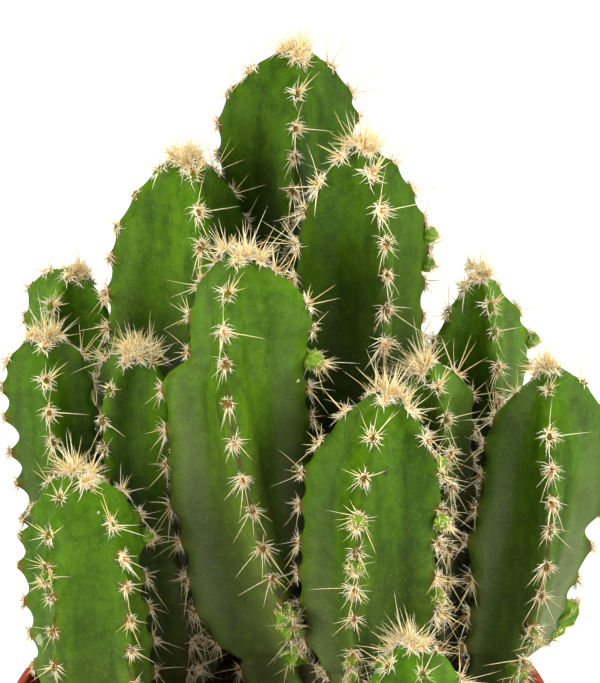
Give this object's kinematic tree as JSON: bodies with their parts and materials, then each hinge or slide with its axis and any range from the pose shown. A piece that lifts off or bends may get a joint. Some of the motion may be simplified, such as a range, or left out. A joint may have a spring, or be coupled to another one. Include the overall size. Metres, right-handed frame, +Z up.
{
  "type": "potted tall cactus",
  "caption": "Clump of upright ribbed cactus stems with wavy rib edges and young offsets, rooted in potting mix in a round tapered plastic pot with a narrow lip.",
  "frame": {"origin": "middle of the pot's flat underside", "axes": "+Z up out of the pot, -Y towards the front of the plant, +X to the right seen from the front"},
  "size_m": [0.1311, 0.1273, 0.245],
  "materials": {
    "pot_plastic": "smooth moulded terracotta-coloured plastic, satin",
    "potting_mix": "dark crumbly peat with a few pale grains, fully rough",
    "stem_skin": "smooth waxy green plant skin, satin, with a grey bloom in the hollows",
    "pup_skin": "fresh bright green plant skin, satin",
    "spines": "straw-coloured dry spines and off-white wool, matte"
  },
  "bodies": {
    "root": {"pot": "pot_plastic", "soil": "potting_mix", "stem_back_tall": "stem_skin", "stem_left_upper": "stem_skin", "stem_right_upper": "stem_skin", "stem_centre": "stem_skin", "stem_front": "stem_skin", "stem_right": "stem_skin", "stem_right_back": "stem_skin", "stem_right_inner": "stem_skin", "stem_left_inner": "stem_skin", "stem_left_outer": "stem_skin", "stem_left_back": "stem_skin", "stem_left_front": "stem_skin", "stem_low_front": "stem_skin", "stem_low_left": "stem_skin", "stem_low_right": "stem_skin", "stem_hidden_back_right": "stem_skin", "stem_hidden_back_left": "stem_skin", "stem_hidden_far_right": "stem_skin", "pup_centre_upper": "pup_skin", "pup_centre_lower": "pup_skin", "pup_right_outer": "pup_skin", "pup_right_edge": "pup_skin", "pup_right_upper": "pup_skin", "pup_right_lower": "pup_skin"}
  },
  "joints": []
}
